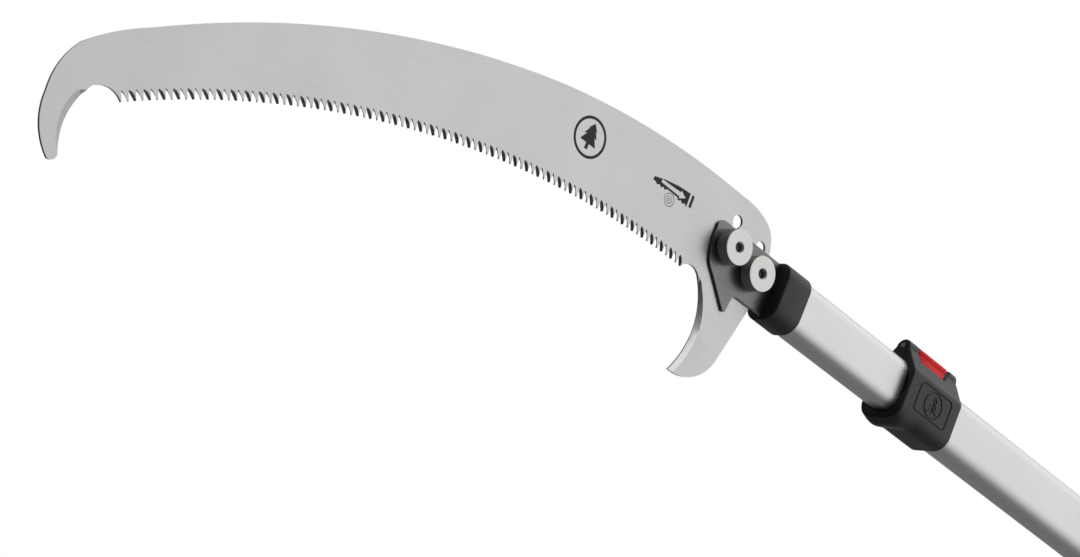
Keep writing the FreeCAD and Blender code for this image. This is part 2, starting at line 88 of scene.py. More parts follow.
def stretched(nodes, links, scale, turn=(0.0, 0.0, 0.0)):
    """Object coordinates turned, then scaled, so that noise runs in streaks."""
    coords = nodes.new("ShaderNodeTexCoord")
    turned = nodes.new("ShaderNodeMapping")
    turned.inputs["Rotation"].default_value = [math.radians(a) for a in turn]
    links.new(coords.outputs["Object"], turned.inputs["Vector"])
    scaled = nodes.new("ShaderNodeMapping")
    scaled.inputs["Scale"].default_value = scale
    links.new(turned.outputs["Vector"], scaled.inputs["Vector"])
    return scaled.outputs["Vector"]


def noise(nodes, links, vector, scale=1.0, detail=3.0, rough=0.6):
    made = nodes.new("ShaderNodeTexNoise")
    made.inputs["Scale"].default_value = scale
    made.inputs["Detail"].default_value = detail
    made.inputs["Roughness"].default_value = rough
    links.new(vector, made.inputs["Vector"])
    return made.outputs["Fac"]


def ramp(nodes, links, value, low, high, from_low=0.3, from_high=0.7):
    """Spreads a noise value over the range low to high."""
    made = nodes.new("ShaderNodeMapRange")
    made.inputs["From Min"].default_value = from_low
    made.inputs["From Max"].default_value = from_high
    made.inputs["To Min"].default_value = low
    made.inputs["To Max"].default_value = high
    links.new(value, made.inputs["Value"])
    return made.outputs["Result"]


def math_node(nodes, links, kind, a, b):
    made = nodes.new("ShaderNodeMath")
    made.operation = kind
    for index, value in enumerate((a, b)):
        if isinstance(value, (int, float)):
            made.inputs[index].default_value = value
        else:
            links.new(value, made.inputs[index])
    return made.outputs[0]


def tint(nodes, links, value, dark, light):
    """Colour between dark and light."""
    made = nodes.new("ShaderNodeMix")
    made.data_type = "RGBA"
    links.new(value, made.inputs["Factor"])
    made.inputs["A"].default_value = (*dark, 1.0)
    made.inputs["B"].default_value = (*light, 1.0)
    return made.outputs["Result"]


def bump(nodes, links, height, shader, strength, distance):
    made = nodes.new("ShaderNodeBump")
    made.inputs["Strength"].default_value = strength
    made.inputs["Distance"].default_value = distance
    links.new(height, made.inputs["Height"])
    links.new(made.outputs["Normal"], shader.inputs["Normal"])


def metal(name, dark, light, rough, streak, turn=(0, 0, 0), bump_strength=0.15, blotch=0.25, metallic=1.0):
    """Brushed or ground metal: streaks in colour, roughness and bump, with faint large blotches."""
    material, nodes, links, shader = tree(name, light)
    shader.inputs["Metallic"].default_value = metallic
    fine = noise(nodes, links, stretched(nodes, links, streak, turn), 1.0, 4.0, 0.65)
    wide = noise(nodes, links, stretched(nodes, links, (25, 25, 18), turn), 1.0, 2.0, 0.5)
    mixed = math_node(nodes, links, "ADD", math_node(nodes, links, "MULTIPLY", fine, 1 - blotch),
                      math_node(nodes, links, "MULTIPLY", wide, blotch))
    level = ramp(nodes, links, mixed, 0.0, 1.0)
    links.new(tint(nodes, links, level, dark, light), shader.inputs["Base Color"])
    links.new(ramp(nodes, links, fine, rough[0], rough[1]), shader.inputs["Roughness"])
    bump(nodes, links, fine, shader, bump_strength, 0.00005)
    return material


def turned_metal(name, dark, light, rough):
    """Turned and knurled metal: rings about the axis, with painted shade in the knurled band's valleys and a
    painted highlight on its crests.
    """
    material, nodes, links, shader = tree(name, light)
    shader.inputs["Metallic"].default_value = 0.65
    marks = []
    for label in ("turning", "knurl_shade_highlight"):
        mark = nodes.new("ShaderNodeAttribute")
        mark.attribute_name = label
        marks.append(mark.outputs["Fac"])
    across = nodes.new("ShaderNodeCombineXYZ")
    links.new(marks[0], across.inputs[0])
    rings = noise(nodes, links, across.outputs[0], 5.0, 3.0, 0.6)
    # The second attribute paints shade into the knurled band's valleys and a highlight onto its crests.
    level = math_node(nodes, links, "MULTIPLY", ramp(nodes, links, rings, 0.84, 1.0), marks[1])
    links.new(tint(nodes, links, level, dark, light), shader.inputs["Base Color"])
    links.new(ramp(nodes, links, rings, rough[0], rough[1]), shader.inputs["Roughness"])
    bump(nodes, links, rings, shader, 0.12, 0.00003)
    return material


def plastic(name, dark, light, rough, grain=2600.0, bump_strength=0.25, coat=0.0, gloss=0.5):
    """Moulded plastic or rubber with a fine spark-eroded grain and slight handling marks."""
    material, nodes, links, shader = tree(name, light)
    vector = stretched(nodes, links, (1, 1, 1))
    fine = noise(nodes, links, vector, grain, 2.0, 0.5)
    wide = noise(nodes, links, vector, 60.0, 3.0, 0.6)
    links.new(tint(nodes, links, ramp(nodes, links, wide, 0.0, 1.0), dark, light),
              shader.inputs["Base Color"])
    level = ramp(nodes, links, math_node(nodes, links, "ADD", math_node(nodes, links, "MULTIPLY", fine, 0.5),
                                         math_node(nodes, links, "MULTIPLY", wide, 0.5)), rough[0], rough[1])
    links.new(level, shader.inputs["Roughness"])
    shader.inputs["Coat Weight"].default_value = coat
    shader.inputs["Specular IOR Level"].default_value = gloss
    bump(nodes, links, fine, shader, bump_strength, 0.00008)
    return material


STEEL = {
    "blade": metal("brushed_blade_steel", (0.53, 0.53, 0.522), (0.67, 0.67, 0.66), (0.30, 0.46),
                   (45, 400, 2600), (0, -75.5, 0), 0.12, 0.3),
    # Tooth and hook bevels: colour darker than the blade, painted shade for the dark the bevels reflect.
    "edge": metal("painted_shade_bevel_steel", (0.32, 0.32, 0.315), (0.50, 0.50, 0.49), (0.22, 0.36),
                  (300, 300, 3000), (0, 60, 0), 0.10, 0.15),
    # Horn bevel: colour lighter than the blade, a painted highlight along the bevel to the tip.
    "highlight_bevel": metal("painted_highlight_bevel_steel", (0.66, 0.66, 0.65), (0.84, 0.84, 0.83), (0.24, 0.36),
                   (300, 300, 3000), (0, 30, 0), 0.10, 0.15),
    "ink": metal("etched_dark_print", (0.035, 0.035, 0.036), (0.06, 0.06, 0.06), (0.5, 0.62),
                 (45, 400, 2600), (0, -75.5, 0), 0.05, 0.2),
    "plate": metal("bead_blasted_plate", (0.17, 0.17, 0.172), (0.25, 0.25, 0.25), (0.27, 0.38),
                   (900, 900, 900), (0, 0, 0), 0.25, 0.3),
    "nut": turned_metal("nickel_nut_steel_painted_knurl_light", (0.16, 0.16, 0.155), (0.96, 0.95, 0.93), (0.28, 0.40)),
    "stud": metal("black_oxide_steel", (0.04, 0.04, 0.042), (0.09, 0.09, 0.09), (0.35, 0.5),
                  (900, 200, 900), (0, 0, 0), 0.10, 0.2),
    "pin": metal("ground_pin_steel", (0.42, 0.42, 0.42), (0.60, 0.60, 0.60), (0.25, 0.38),
                 (900, 900, 120), (0, 0, 0), 0.10, 0.2),
    "tube": metal("satin_anodised_tube", (0.70, 0.705, 0.71), (0.83, 0.83, 0.83), (0.32, 0.44),
                  (2200, 2200, 4), (0, 0, 0), 0.10, 0.25, 0.85),
}
NYLON = {
    "black": plastic("black_moulded_nylon", (0.022, 0.022, 0.025), (0.034, 0.034, 0.038), (0.40, 0.56)),
    "guide": plastic("grey_guide_nylon", (0.10, 0.10, 0.10), (0.16, 0.16, 0.16), (0.42, 0.58)),
    # Pin-end insert: partly its own pale grey, partly a painted highlight for its lit upward face.
    "insert_painted_highlight": plastic("pale_insert_nylon_painted_highlight", (0.42, 0.42, 0.42), (0.55, 0.55, 0.54), (0.40, 0.55)),
    "red": plastic("red_moulded_nylon", (0.70, 0.010, 0.013), (0.82, 0.015, 0.018), (0.32, 0.45), 2200,
                   0.12, 0.0, 0.06),
    "rubber": plastic("black_rubber", (0.020, 0.020, 0.021), (0.032, 0.032, 0.033), (0.62, 0.82), 1500, 0.5),
}

# ---------------------------------------------------------------- mesh helpers

ARC_STEP = math.radians(5.0)
ARC_SPACING = 3.0


def arc(a, m, b, count=0):
    """Points after a on the arc from a through m to b."""
    ax, ay = a
    bx, by = m
    cx, cy = b
    d = 2 * (ax * (by - cy) + bx * (cy - ay) + cx * (ay - by))
    a2, b2, c2 = ax * ax + ay * ay, bx * bx + by * by, cx * cx + cy * cy
    ux = (a2 * (by - cy) + b2 * (cy - ay) + c2 * (ay - by)) / d
    uy = (a2 * (cx - bx) + b2 * (ax - cx) + c2 * (bx - ax)) / d
    r = math.hypot(ax - ux, ay - uy)
    t0 = math.atan2(ay - uy, ax - ux)
    t1 = math.atan2(by - uy, bx - ux)
    t2 = math.atan2(cy - uy, cx - ux)
    full = 2 * math.pi
    forward = (t2 - t0) % full
    if (t1 - t0) % full > forward:
        forward -= full
    count = count or max(2, math.ceil(abs(forward) / ARC_STEP), math.ceil(abs(forward) * r / ARC_SPACING))
    return [(ux + r * math.cos(t0 + forward * i / count), uy + r * math.sin(t0 + forward * i / count))
            for i in range(1, count + 1)]


def flowing(before, points):
    """Smooth line from points[0] through the rest, setting off in line with the point before it."""
    path = [Vector(p) for p in [before] + points]
    gaps = [(b - a).length for a, b in zip(path, path[1:])]
    slopes = [(b - a) / g for a, b, g in zip(path, path[1:], gaps)]
    tangents = [(slopes[i - 1] * gaps[i] + slopes[i] * gaps[i - 1]) / (gaps[i - 1] + gaps[i])
                for i in range(1, len(slopes))] + [slopes[-1]]
    made = []
    for i in range(1, len(path) - 1):
        gap = gaps[i]
        for step in range(1, 9):
            t = step / 8
            made.append(tuple(path[i] * (2 * t ** 3 - 3 * t ** 2 + 1) + path[i + 1] * (3 * t ** 2 - 2 * t ** 3)
                              + tangents[i - 1] * gap * (t ** 3 - 2 * t ** 2 + t)
                              + tangents[i] * gap * (t ** 3 - t ** 2)))
    return made


def outline(start, steps):
    """Closed outline, start not repeated: (end,) is a line, (middle, end) an arc, more points flow."""
    points = [start]
    for step in steps:
        here = points[-1]
        if len(step) > 2:
            points += flowing(points[-2], [here] + list(step))
        elif len(step) == 1:
            points.append(step[0])
        else:
            points += arc(here, step[0], step[1])
    if math.dist(points[0], points[-1]) < 1e-6:
        points.pop()
    return points


def oval(wide, thick, corner, count=10):
    """Rounded rectangle about the pole axis, anticlockwise from the front right corner."""
    points = []
    corners = ((1, -1, -90), (1, 1, 0), (-1, 1, 90), (-1, -1, 180))
    for sx, sy, turn in corners:
        cx, cy = sx * (wide / 2 - corner), sy * (thick / 2 - corner)
        for i in range(count + 1):
            t = math.radians(turn + 90 * i / count)
            points.append((cx + corner * math.cos(t), cy + corner * math.sin(t)))
    return points


def inset(points, amount):
    """Moves each point of an anticlockwise outline inwards."""
    made = []
    n = len(points)
    for i, p in enumerate(points):
        before, after = Vector(points[i - 1]), Vector(points[(i + 1) % n])
        here = Vector(p)
        a, b = (here - before).normalized(), (after - here).normalized()
        normal = Vector((-(a.y + b.y), a.x + b.x)).normalized()
        shrink = amount / max(0.35, normal.dot(Vector((-a.y, a.x))))
        made.append(tuple(here + normal * shrink))
    return made


def inside(points, loop):
    """Even-odd test of many points against one loop."""
    p = np.asarray(points, float)
    q = np.asarray(loop, float)
    hit = np.zeros(len(p), bool)
    for (x0, y0), (x1, y1) in zip(q, np.roll(q, -1, axis=0)):
        if y0 == y1:
            continue
        across = (p[:, 1] >= min(y0, y1)) & (p[:, 1] < max(y0, y1))
        at = x0 + (p[:, 1] - y0) * (x1 - x0) / (y1 - y0)
        hit ^= across & (p[:, 0] < at)
    return hit


def triangles(loops, lines=()):
    """Triangles inside the first loop and outside the rest, and where each vertex came from."""
    coords, edges = [], []
    for loop in loops:
        base = len(coords)
        coords += [Vector(p) for p in loop]
        edges += [(base + i, base + (i + 1) % len(loop)) for i in range(len(loop))]
    for line in lines:
        base = len(coords)
        coords += [Vector(p) for p in line]
        edges += [(base + i, base + i + 1) for i in range(len(line) - 1)]
    verts, _, faces, origin, _, _ = delaunay_2d_cdt(coords, edges, [], 0, 1e-5)
    middles = [sum((verts[i] for i in f), Vector((0, 0))) / len(f) for f in faces]
    keep = inside(middles, loops[0])
    for loop in loops[1:]:
        keep &= ~inside(middles, loop)
    return verts, [f for f, k in zip(faces, keep) if k], origin


def new_piece(name, verts, faces, material, sharp=30.0, marks=None, materials=None):
    """Mesh object from millimetre points, with normals out and edges over the sharp angle kept crisp."""
    mesh = bpy.data.meshes.new(name)
    mesh.from_pydata([tuple(c * MM for c in v) for v in verts], [], faces)
    for m in (materials or [material]):
        mesh.materials.append(m)
    if marks is not None:
        mesh.polygons.foreach_set("material_index", marks)
    bm = bmesh.new()
    bm.from_mesh(mesh)
    bmesh.ops.remove_doubles(bm, verts=bm.verts, dist=1e-7)
    bmesh.ops.recalc_face_normals(bm, faces=bm.faces)
    bm.to_mesh(mesh)
    bm.free()
    obj = bpy.data.objects.new(name, mesh)
    bpy.context.scene.collection.objects.link(obj)
    crisp(obj, sharp)
    return obj


def crisp(obj, sharp):
    mesh = obj.data
    mesh.polygons.foreach_set("use_smooth", [True] * len(mesh.polygons))
    mesh.set_sharp_from_angle(angle=math.radians(sharp))


def place(obj, body, slot, *nodes):
    """The piece rides on its body and stands for CAD nodes, which it hides; slot is not used."""
    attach(obj, body)
    if nodes:
        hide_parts(*nodes)
    return obj


def baked(obj, sharp=30.0):
    """Applies the object's modifiers."""
    graph = bpy.context.evaluated_depsgraph_get()
    mesh = bpy.data.meshes.new_from_object(obj.evaluated_get(graph))
    obj.modifiers.clear()
    old = obj.data
    obj.data = mesh
    bpy.data.meshes.remove(old)
    crisp(obj, sharp)
    return obj


def carved(obj, cutters, sharp=30.0):
    """Cuts other meshes out of a piece and removes the cutters."""
    for cutter in cutters:
        mod = obj.modifiers.new("Cut", "BOOLEAN")
        mod.operation = "DIFFERENCE"
        mod.solver = "EXACT"
        mod.object = cutter
    baked(obj, sharp)
    for cutter in cutters:
        bpy.data.objects.remove(cutter)
    return obj


def loft(name, rings, material, closed=False, sharp=30.0):
    """Skin over rings of equal length; the ends are capped unless the rings close on themselves."""
    n = len(rings[0])
    verts = [p for ring in rings for p in ring]
    faces = []
    count = len(rings)
    for r in range(count if closed else count - 1):
        a, b = r * n, ((r + 1) % count) * n
        faces += [(a + i, a + (i + 1) % n, b + (i + 1) % n, b + i) for i in range(n)]
    if not closed:
        faces.append(tuple(range(n))[::-1])
        faces.append(tuple((count - 1) * n + i for i in range(n)))
    return new_piece(name, verts, faces, material, sharp)


def smooth(t):
    t = min(1.0, max(0.0, t))
    return t * t * (3 - 2 * t)


def round_profile(radius, steps=4):
    """(inset, depth) pairs round a quarter turn from an end face to a side."""
    return [(radius * (1 - math.sin(math.radians(90 * i / steps))),
             radius * (1 - math.cos(math.radians(90 * i / steps)))) for i in range(steps + 1)]


def slab(name, loops, front, back, material, lines=(), drops=None, prints=(), materials=None, sharp=14.0):
    """Sheet metal piece in the XZ plane. drops gives, for points of the loops, how far the front and
    back faces stand back there; prints are closed outlines on the front that take other materials."""
    all_lines = list(lines) + [list(loop) + [loop[0]] for loop, _ in prints]
    flat, faces, origin = triangles(loops, all_lines)
    source = [p for loop in loops for p in loop]
    n = len(flat)
    verts_front, verts_back = [], []
    for i, v in enumerate(flat):
        a = b = 0.0
        if drops:
            for o in origin[i]:
                if o < len(source) and source[o] in drops:
                    a, b = drops[source[o]]
        verts_front.append((v.x, front + a, v.y))
        verts_back.append((v.x, back - b, v.y))
    made = [tuple(f) for f in faces]
    middles = [tuple(sum((flat[i] for i in f), Vector((0, 0))) / len(f)) for f in faces]
    marks = np.zeros(len(faces), int)
    for loop, index in prints:
        marks[inside(middles, loop)] = index
    seen = {}
    for f in faces:
        for i in range(len(f)):
            seen[(f[i], f[(i + 1) % len(f)])] = True
    walls = [(a, b, b + n, a + n) for a, b in seen if (b, a) not in seen]
    polygons = made + [tuple(i + n for i in f)[::-1] for f in faces] + [w[::-1] for w in walls]
    all_marks = list(marks) + [0] * (len(faces) + len(walls))
    return new_piece(name, verts_front + verts_back, polygons, material, sharp, all_marks, materials)


def lathe(name, x, z, profile, material, segments=64, closed=True, sharp=30.0, shape=None):
    """Piece turned about an axis along Y from (radius, y) points; shape(ring, step) scales a radius."""
    rings = []
    for index, (radius, y) in enumerate(profile):
        ring = []
        for i in range(segments):
            t = 2 * math.pi * i / segments
            r = radius * (shape(index, i) if shape else 1.0)
            ring.append((x + r * math.cos(t), y, z + r * math.sin(t)))
        rings.append(ring)
    return loft(name, rings, material, closed=closed, sharp=sharp)


# ---------------------------------------------------------------- blade

stud_low, stud_high = node_box("upper_stud")
STUD_X = (stud_low.x + stud_high.x) / 2
STUD_Z = (stud_low.z + stud_high.z) / 2
low_stud = node_box("lower_stud")
STUDS = ((STUD_X, STUD_Z), ((low_stud[0].x + low_stud[1].x) / 2, (low_stud[0].z + low_stud[1].z) / 2))
blade_low, blade_high = node_box("blade")
HUB = (-553.9, 33.1)
TIP_R = 530.0
TOOTH_DEPTH = 4.8
PITCH = math.radians(0.3938)
FIRST = math.radians(-1.016)
TEETH = 92
EDGE_DROP = 1.15


def on_arc(depth, tooth):
    """Point near the teeth: depth in from the line of tips, place counted in teeth."""
    angle = FIRST + PITCH * tooth
    radius = TIP_R + depth
    return (HUB[0] + radius * math.cos(angle), HUB[1] + radius * math.sin(angle))


def at(point):
    return (round(STUD_X + point[0], 5), round(STUD_Z + point[1], 5))


drops = {}
inner_lines = []
shaded_bevel_faces = []
teeth = [on_arc(0, 0)]
for k in range(TEETH):
    side = k % 2
    flank = []
    for depth, share in ((0.0, 1.0), (1.6, 1.0), (3.2, 0.8), (TOOTH_DEPTH, 0.0)):
        point = on_arc(depth, k + 0.04 + 0.70 * depth / TOOTH_DEPTH)
        flank.append(point)
        drop = EDGE_DROP * share
        drops[at(point)] = (drop, 0.0) if side == 0 else (0.0, drop)
    land = on_arc(0, k - 0.04) if k else on_arc(0, 0)
    crest = [flank[-1], on_arc(3.9, k + 0.36), on_arc(2.2, k + 0.09), on_arc(0.7, k - 0.02), land]
    inner_lines.append(crest)
    if side == 0:
        shaded_bevel_faces.append(flank + crest[1:])
    teeth += flank
    teeth += [on_arc(TOOTH_DEPTH, k + 0.86), on_arc(0, k + 0.96)]
teeth.append(on_arc(0, TEETH))

rest = outline(teeth[-1], [
    ((-118.5, 345.0), (-120.5, 352.0)),
    ((-122.3, 354.1), (-125.0, 355.2)),
    ((-139.0, 358.0), (-155.5, 354.2)),
    ((-158.3, 354.8), (-159.5, 357.8)),
    ((-149.0, 367.6), (-135.0, 371.7)),
    ((-121.0, 371.8), (-108.0, 366.8)),
    ((-97.0, 356.2), (-85.0, 340.9)),
    ((-28.0, 250.0), (16.0, 130.0)),
    ((26.4, 65.0), (28.4, 5.0)),
    ((28.4, -3.0), (27.7, -9.6), (22.2, -22.8), (10.3, -28.4), (-4.5, -28.6)),
    ((-19.3, -28.8),),
    ((-52.0, -21.3),),
    ((-66.6, -13.2), (-72.9, 1.5)),
    ((-72.9, 2.3),),
    ((-72.9, 6.1),),
    ((-62.2, 1.9), (-50.0, 0.0)),
    ((-36.6, 2.2), (-25.0, 8.5)),
    ((-22.7, 10.4),),
    ((-19.9, 16.3), teeth[0]),
])
ring = teeth + rest[1:]
hook_edge = [p for p in rest if -155.3 < p[0] < -125.2 and 354.1 < p[1] < 358.5]
horn_edge = [p for p in rest if -72.95 < p[0] < -24.9 and -0.2 < p[1] < 8.6
             and abs(p[1] - 2.3) > 0.01 and (p[0] > -72.8 or p[1] > 5)
             and (p[1] > 1.6 or -68 < p[0] < -36)]
for p in hook_edge:
    fade = (p[0] + 155.5) / 30.5
    drops[at(p)] = (0.35 + 0.95 * smooth(2.0 * fade), 0.0)
for p in horn_edge:
    fade = (p[0] + 72.9) / 48.0
    drops[at(p)] = (0.30 + 1.0 * smooth(1.25 * fade), 0.0)
hook_line = [(-125.0, 355.2), (-126.6, 358.2), (-130.0, 360.1), (-135.0, 361.2), (-140.0, 361.2),
             (-145.0, 360.3), (-150.0, 358.5), (-155.5, 354.2)]
horn_line = [(-22.7, 10.4), (-23.6, 7.6), (-30.0, 2.8), (-35.0, 0.0), (-40.0, -2.0), (-45.0, -3.2),
             (-50.0, -3.4), (-55.0, -3.0), (-60.0, -2.1), (-65.0, -0.8), (-70.0, 1.2), (-72.9, 2.3)]
inner_lines += [hook_line, horn_line]

# printed marks: a tree in a ring, and a pull arrow over a log
mark_x, mark_z = 1.2, 106.5


def ring_points(x, z, radius, count=40):
    return [(x + radius * math.cos(2 * math.pi * i / count), z + radius * math.sin(2 * math.pi * i / count))
            for i in range(count)]


def leaf(x, z):
    """Conifer outline pointing to the blade's back."""
    half = [(7.6, 0.0), (3.6, 3.4), (4.4, 2.0), (0.2, 4.6), (1.2, 2.7), (-3.4, 5.4), (-3.4, 1.0), (-6.4, 1.0)]
    other = [(a, -b) for a, b in half[::-1] if b]
    return [(x + a, z + b) for a, b in half + other]


saw_bar = [(4.5, 61.0), (6.4, 60.6), (8.6, 53.0), (10.3, 44.0), (11.0, 35.2), (3.4, 34.8), (4.6, 36.6),
           (3.5, 38.2),
           (4.7, 39.6), (3.6, 41.2), (4.8, 42.6), (4.8, 50.4), (3.6, 51.6), (4.6, 53.0), (3.5, 54.4),
           (4.5, 56.0),
           (3.5, 57.4), (4.4, 59.0)]
arrow = [(6.1, 55.4), (7.6, 55.4), (8.2, 41.4), (9.2, 41.4), (7.2, 37.2), (4.8, 41.4), (5.9, 41.4)]
handle_bar = [(4.4, 33.6), (11.0, 33.9), (11.0, 32.2), (4.4, 31.8)]
log_x, log_z = 0.9, 46.6
prints = [
    (ring_points(mark_x, mark_z, 10.6), 1), (ring_points(mark_x, mark_z, 9.1), 0), (leaf(mark_x, mark_z), 1),
    (saw_bar, 1), (arrow, 0), (handle_bar, 1),
    (ring_points(log_x, log_z, 3.5), 1), (ring_points(log_x, log_z, 3.15), 0),
    (ring_points(log_x, log_z, 2.1, 28), 1), (ring_points(log_x, log_z, 1.8, 28), 0),
    (ring_points(log_x, log_z, 0.9, 20), 1), (ring_points(log_x, log_z, 0.55, 20), 0),
]
# The tooth and hook bevels take the darker steel, which is painted shade.
shaded_bevel_faces.append(hook_line[::-1] + hook_edge)
# The horn bevel takes the lighter steel, which is a painted highlight.
highlit_horn_bevel = [(-25.0, 8.5)] + horn_edge[::-1] + horn_line[::-1]

HALF_SLOT = 2.3
KEY_R = 3.4
KEY_TRAVEL = 15.2
mouth_x = KEY_TRAVEL - math.sqrt(KEY_R ** 2 - HALF_SLOT ** 2)
holes = []
for x, z in STUDS:
    holes.append(outline((x, z - HALF_SLOT), [
        ((x + mouth_x, z - HALF_SLOT),),
        ((x + KEY_TRAVEL + KEY_R, z), (x + mouth_x, z + HALF_SLOT)),
        ((x, z + HALF_SLOT),),
        ((x - HALF_SLOT, z), (x, z - HALF_SLOT)),
    ]))

blade = slab(
    "saw_blade", [[at(p) for p in ring]] + holes, blade_low.y, blade_high.y, None,
    lines=[[at(p) for p in line] for line in inner_lines], drops=drops,
    prints=[([at(p) for p in loop], index) for loop,
            index in prints + [(loop, 2) for loop in shaded_bevel_faces] + [(highlit_horn_bevel, 3)]],
    materials=[STEEL["blade"], STEEL["ink"], STEEL["edge"], STEEL["highlight_bevel"]])
place(blade, "saw_blade", "blade_steel", "blade")

# ---------------------------------------------------------------- head plate

plate_low, plate_high = node_box("head_plate")
collar_high = node_box("collar")[1]
neck = collar_high.z - STUD_Z + 0.3
tang = plate_low.z - STUD_Z
plate_ring = outline((10.4, neck), [
    ((10.6, 7.5),),
    ((9.4, 11.2), (5.0, 12.4)),
    ((-5.5, 11.6), (-13.2, 8.6)),
    ((-15.4, 6.2), (-17.4, 3.6)),
    ((-30.2, -10.85),),
    ((-30.48, -12.4), (-29.22, -13.34)),
    ((-23.2, -13.9),),
    ((-20.8, -15.2), (-19.9, -18.0)),
    ((-19.9, neck),),
    ((-15.9, neck),),
    ((-15.9, tang),),
    ((6.1, tang),),
    ((6.1, neck),),
    ((10.4, neck),),
])
square = 2.6
stud_holes = [[(x - square, z - square), (x + square, z - square), (x + square, z + square),
               (x - square, z + square)]
              for x, z in STUDS]
plate_edge = inset(plate_ring, 0.22)
plate = slab("head_plate_steel", [[at(p) for p in plate_ring]] + stud_holes, plate_low.y, plate_high.y,
             STEEL["plate"],
             lines=[[at(p) for p in plate_edge + plate_edge[:1]]],
             drops={at(p): (0.2, 0.2) for p in plate_ring})
place(plate, "head", "plate_steel", "head_plate")

# ---------------------------------------------------------------- thumb nuts and studs

KNURL = 0.42


def knurled_nut(name, node, x, z, body):
    low, high = node_box(node)
    radius = (high.x - low.x) / 2
    bore = 2.55
    front, back = low.y, high.y
    columns = 96
    rows = 10
    start, stop = front + 0.45, back - 0.45
    profile = [(bore, back - 0.2), (bore + 0.25, back), (radius - 0.75, back), (radius - 0.35, back - 0.12)]
    first = len(profile)
    for row in range(rows + 1):
        profile.append((radius, stop + (start - stop) * row / rows))
    final = len(profile) - 1
    profile += [(radius - 0.35, front + 0.12), (radius - 0.75, front), (radius - 2.2, front),
                (radius - 3.6, front),
                (bore + 2.4, front), (bore + 0.55, front), (bore, front + 0.5)]
    depth = KNURL / radius

    def shape(index, step):
        if index < first or index > final:
            return 1.0
        row = index - first
        if row in (0, rows):
            return 1.0 - depth * 0.9
        return 1.0 if (row + step) % 2 else 1.0 - depth

    nut = lathe(name, x, z, profile, STEEL["nut"], columns, True, 12.0, shape)
    bm = bmesh.new()
    bm.from_mesh(nut.data)
    quads = []
    for face in bm.faces:
        if len(face.verts) == 4:
            radii = [math.hypot(v.co.x / MM - x, v.co.z / MM - z) for v in face.verts]
            if max(radii) > radius - 0.02 and min(radii) > radius - KNURL - 0.2 and max(radii) - min(radii) > 0.2:
                quads.append((face, radii))
    for face, radii in quads:
        corners = list(face.verts)
        valley = [v for v, r in zip(corners, radii) if r < radius - 0.2]
        if len(valley) == 2 and abs(corners.index(valley[0]) - corners.index(valley[1])) == 2:
            bmesh.utils.face_split(face, valley[0], valley[1])
    bm.to_mesh(nut.data)
    bm.free()
    crisp(nut, 12.0)
    turning = nut.data.attributes.new("turning", "FLOAT", "POINT")
    # Second attribute: painted shade in the knurled band's valleys, painted highlight on its crests, 0.84 on the
    # plain faces.
    proud = nut.data.attributes.new("knurl_shade_highlight", "FLOAT", "POINT")
    for i, v in enumerate(nut.data.vertices):
        r = math.hypot(v.co.x / MM - x, v.co.z / MM - z)
        banded = start - 0.01 < v.co.y / MM < stop + 0.01
        turning.data[i].value = r
        proud.data[i].value = smooth((r - radius + KNURL) / KNURL) if banded and r > radius - 1.0 else 0.84
    return place(nut, body, "nut_steel", node)


knurled_nut("upper_thumb_nut", "upper_nut", *STUDS[0], "nut_one")
knurled_nut("lower_thumb_nut", "lower_nut", *STUDS[1], "nut_two")


STUD_SIDES = 40


def stud(name, node, x, z, body):
    low, high = node_box(node)
    head_r, neck_r, thread_r = 3.1, 2.0, 2.5
    back = high.y
    seat = back - 1.8
    profile = [(0.05, back - 0.55), (1.0, back - 0.55), (1.15, back - 0.1), (1.35, back),
               (head_r - 0.7, back - 0.05),
               (head_r - 0.2, back - 0.3), (head_r, back - 0.8), (head_r, seat + 0.15), (head_r - 0.15, seat),
               (neck_r, seat), (neck_r, plate_low.y + 0.35)]
    key = range(len(profile), len(profile) + 2)
    y = plate_low.y - 0.1
    profile += [(thread_r, plate_low.y + 0.35), (thread_r, plate_low.y - 0.05), (thread_r, y)]

    def shape(index, step):
        """The key rings are square."""
        t = 2 * math.pi * step / STUD_SIDES
        return 1 / max(abs(math.cos(t)), abs(math.sin(t))) if index in key else 1.0

    while y - 0.8 > low.y + 0.3:
        profile += [(thread_r, y - 0.1), (thread_r - 0.4, y - 0.4), (thread_r, y - 0.7)]
        y -= 0.8
    profile += [(thread_r - 0.1, low.y + 0.3), (thread_r - 0.45, low.y), (0.05, low.y)]
    made = lathe(name, x, z, profile, STEEL["stud"], STUD_SIDES, False, 30.0, shape)
    return place(made, body, "stud_steel", node)


stud("upper_square_stud", "upper_stud", *STUDS[0], "stud_one")
stud("lower_square_stud", "lower_stud", *STUDS[1], "stud_two")

# ---------------------------------------------------------------- tubes


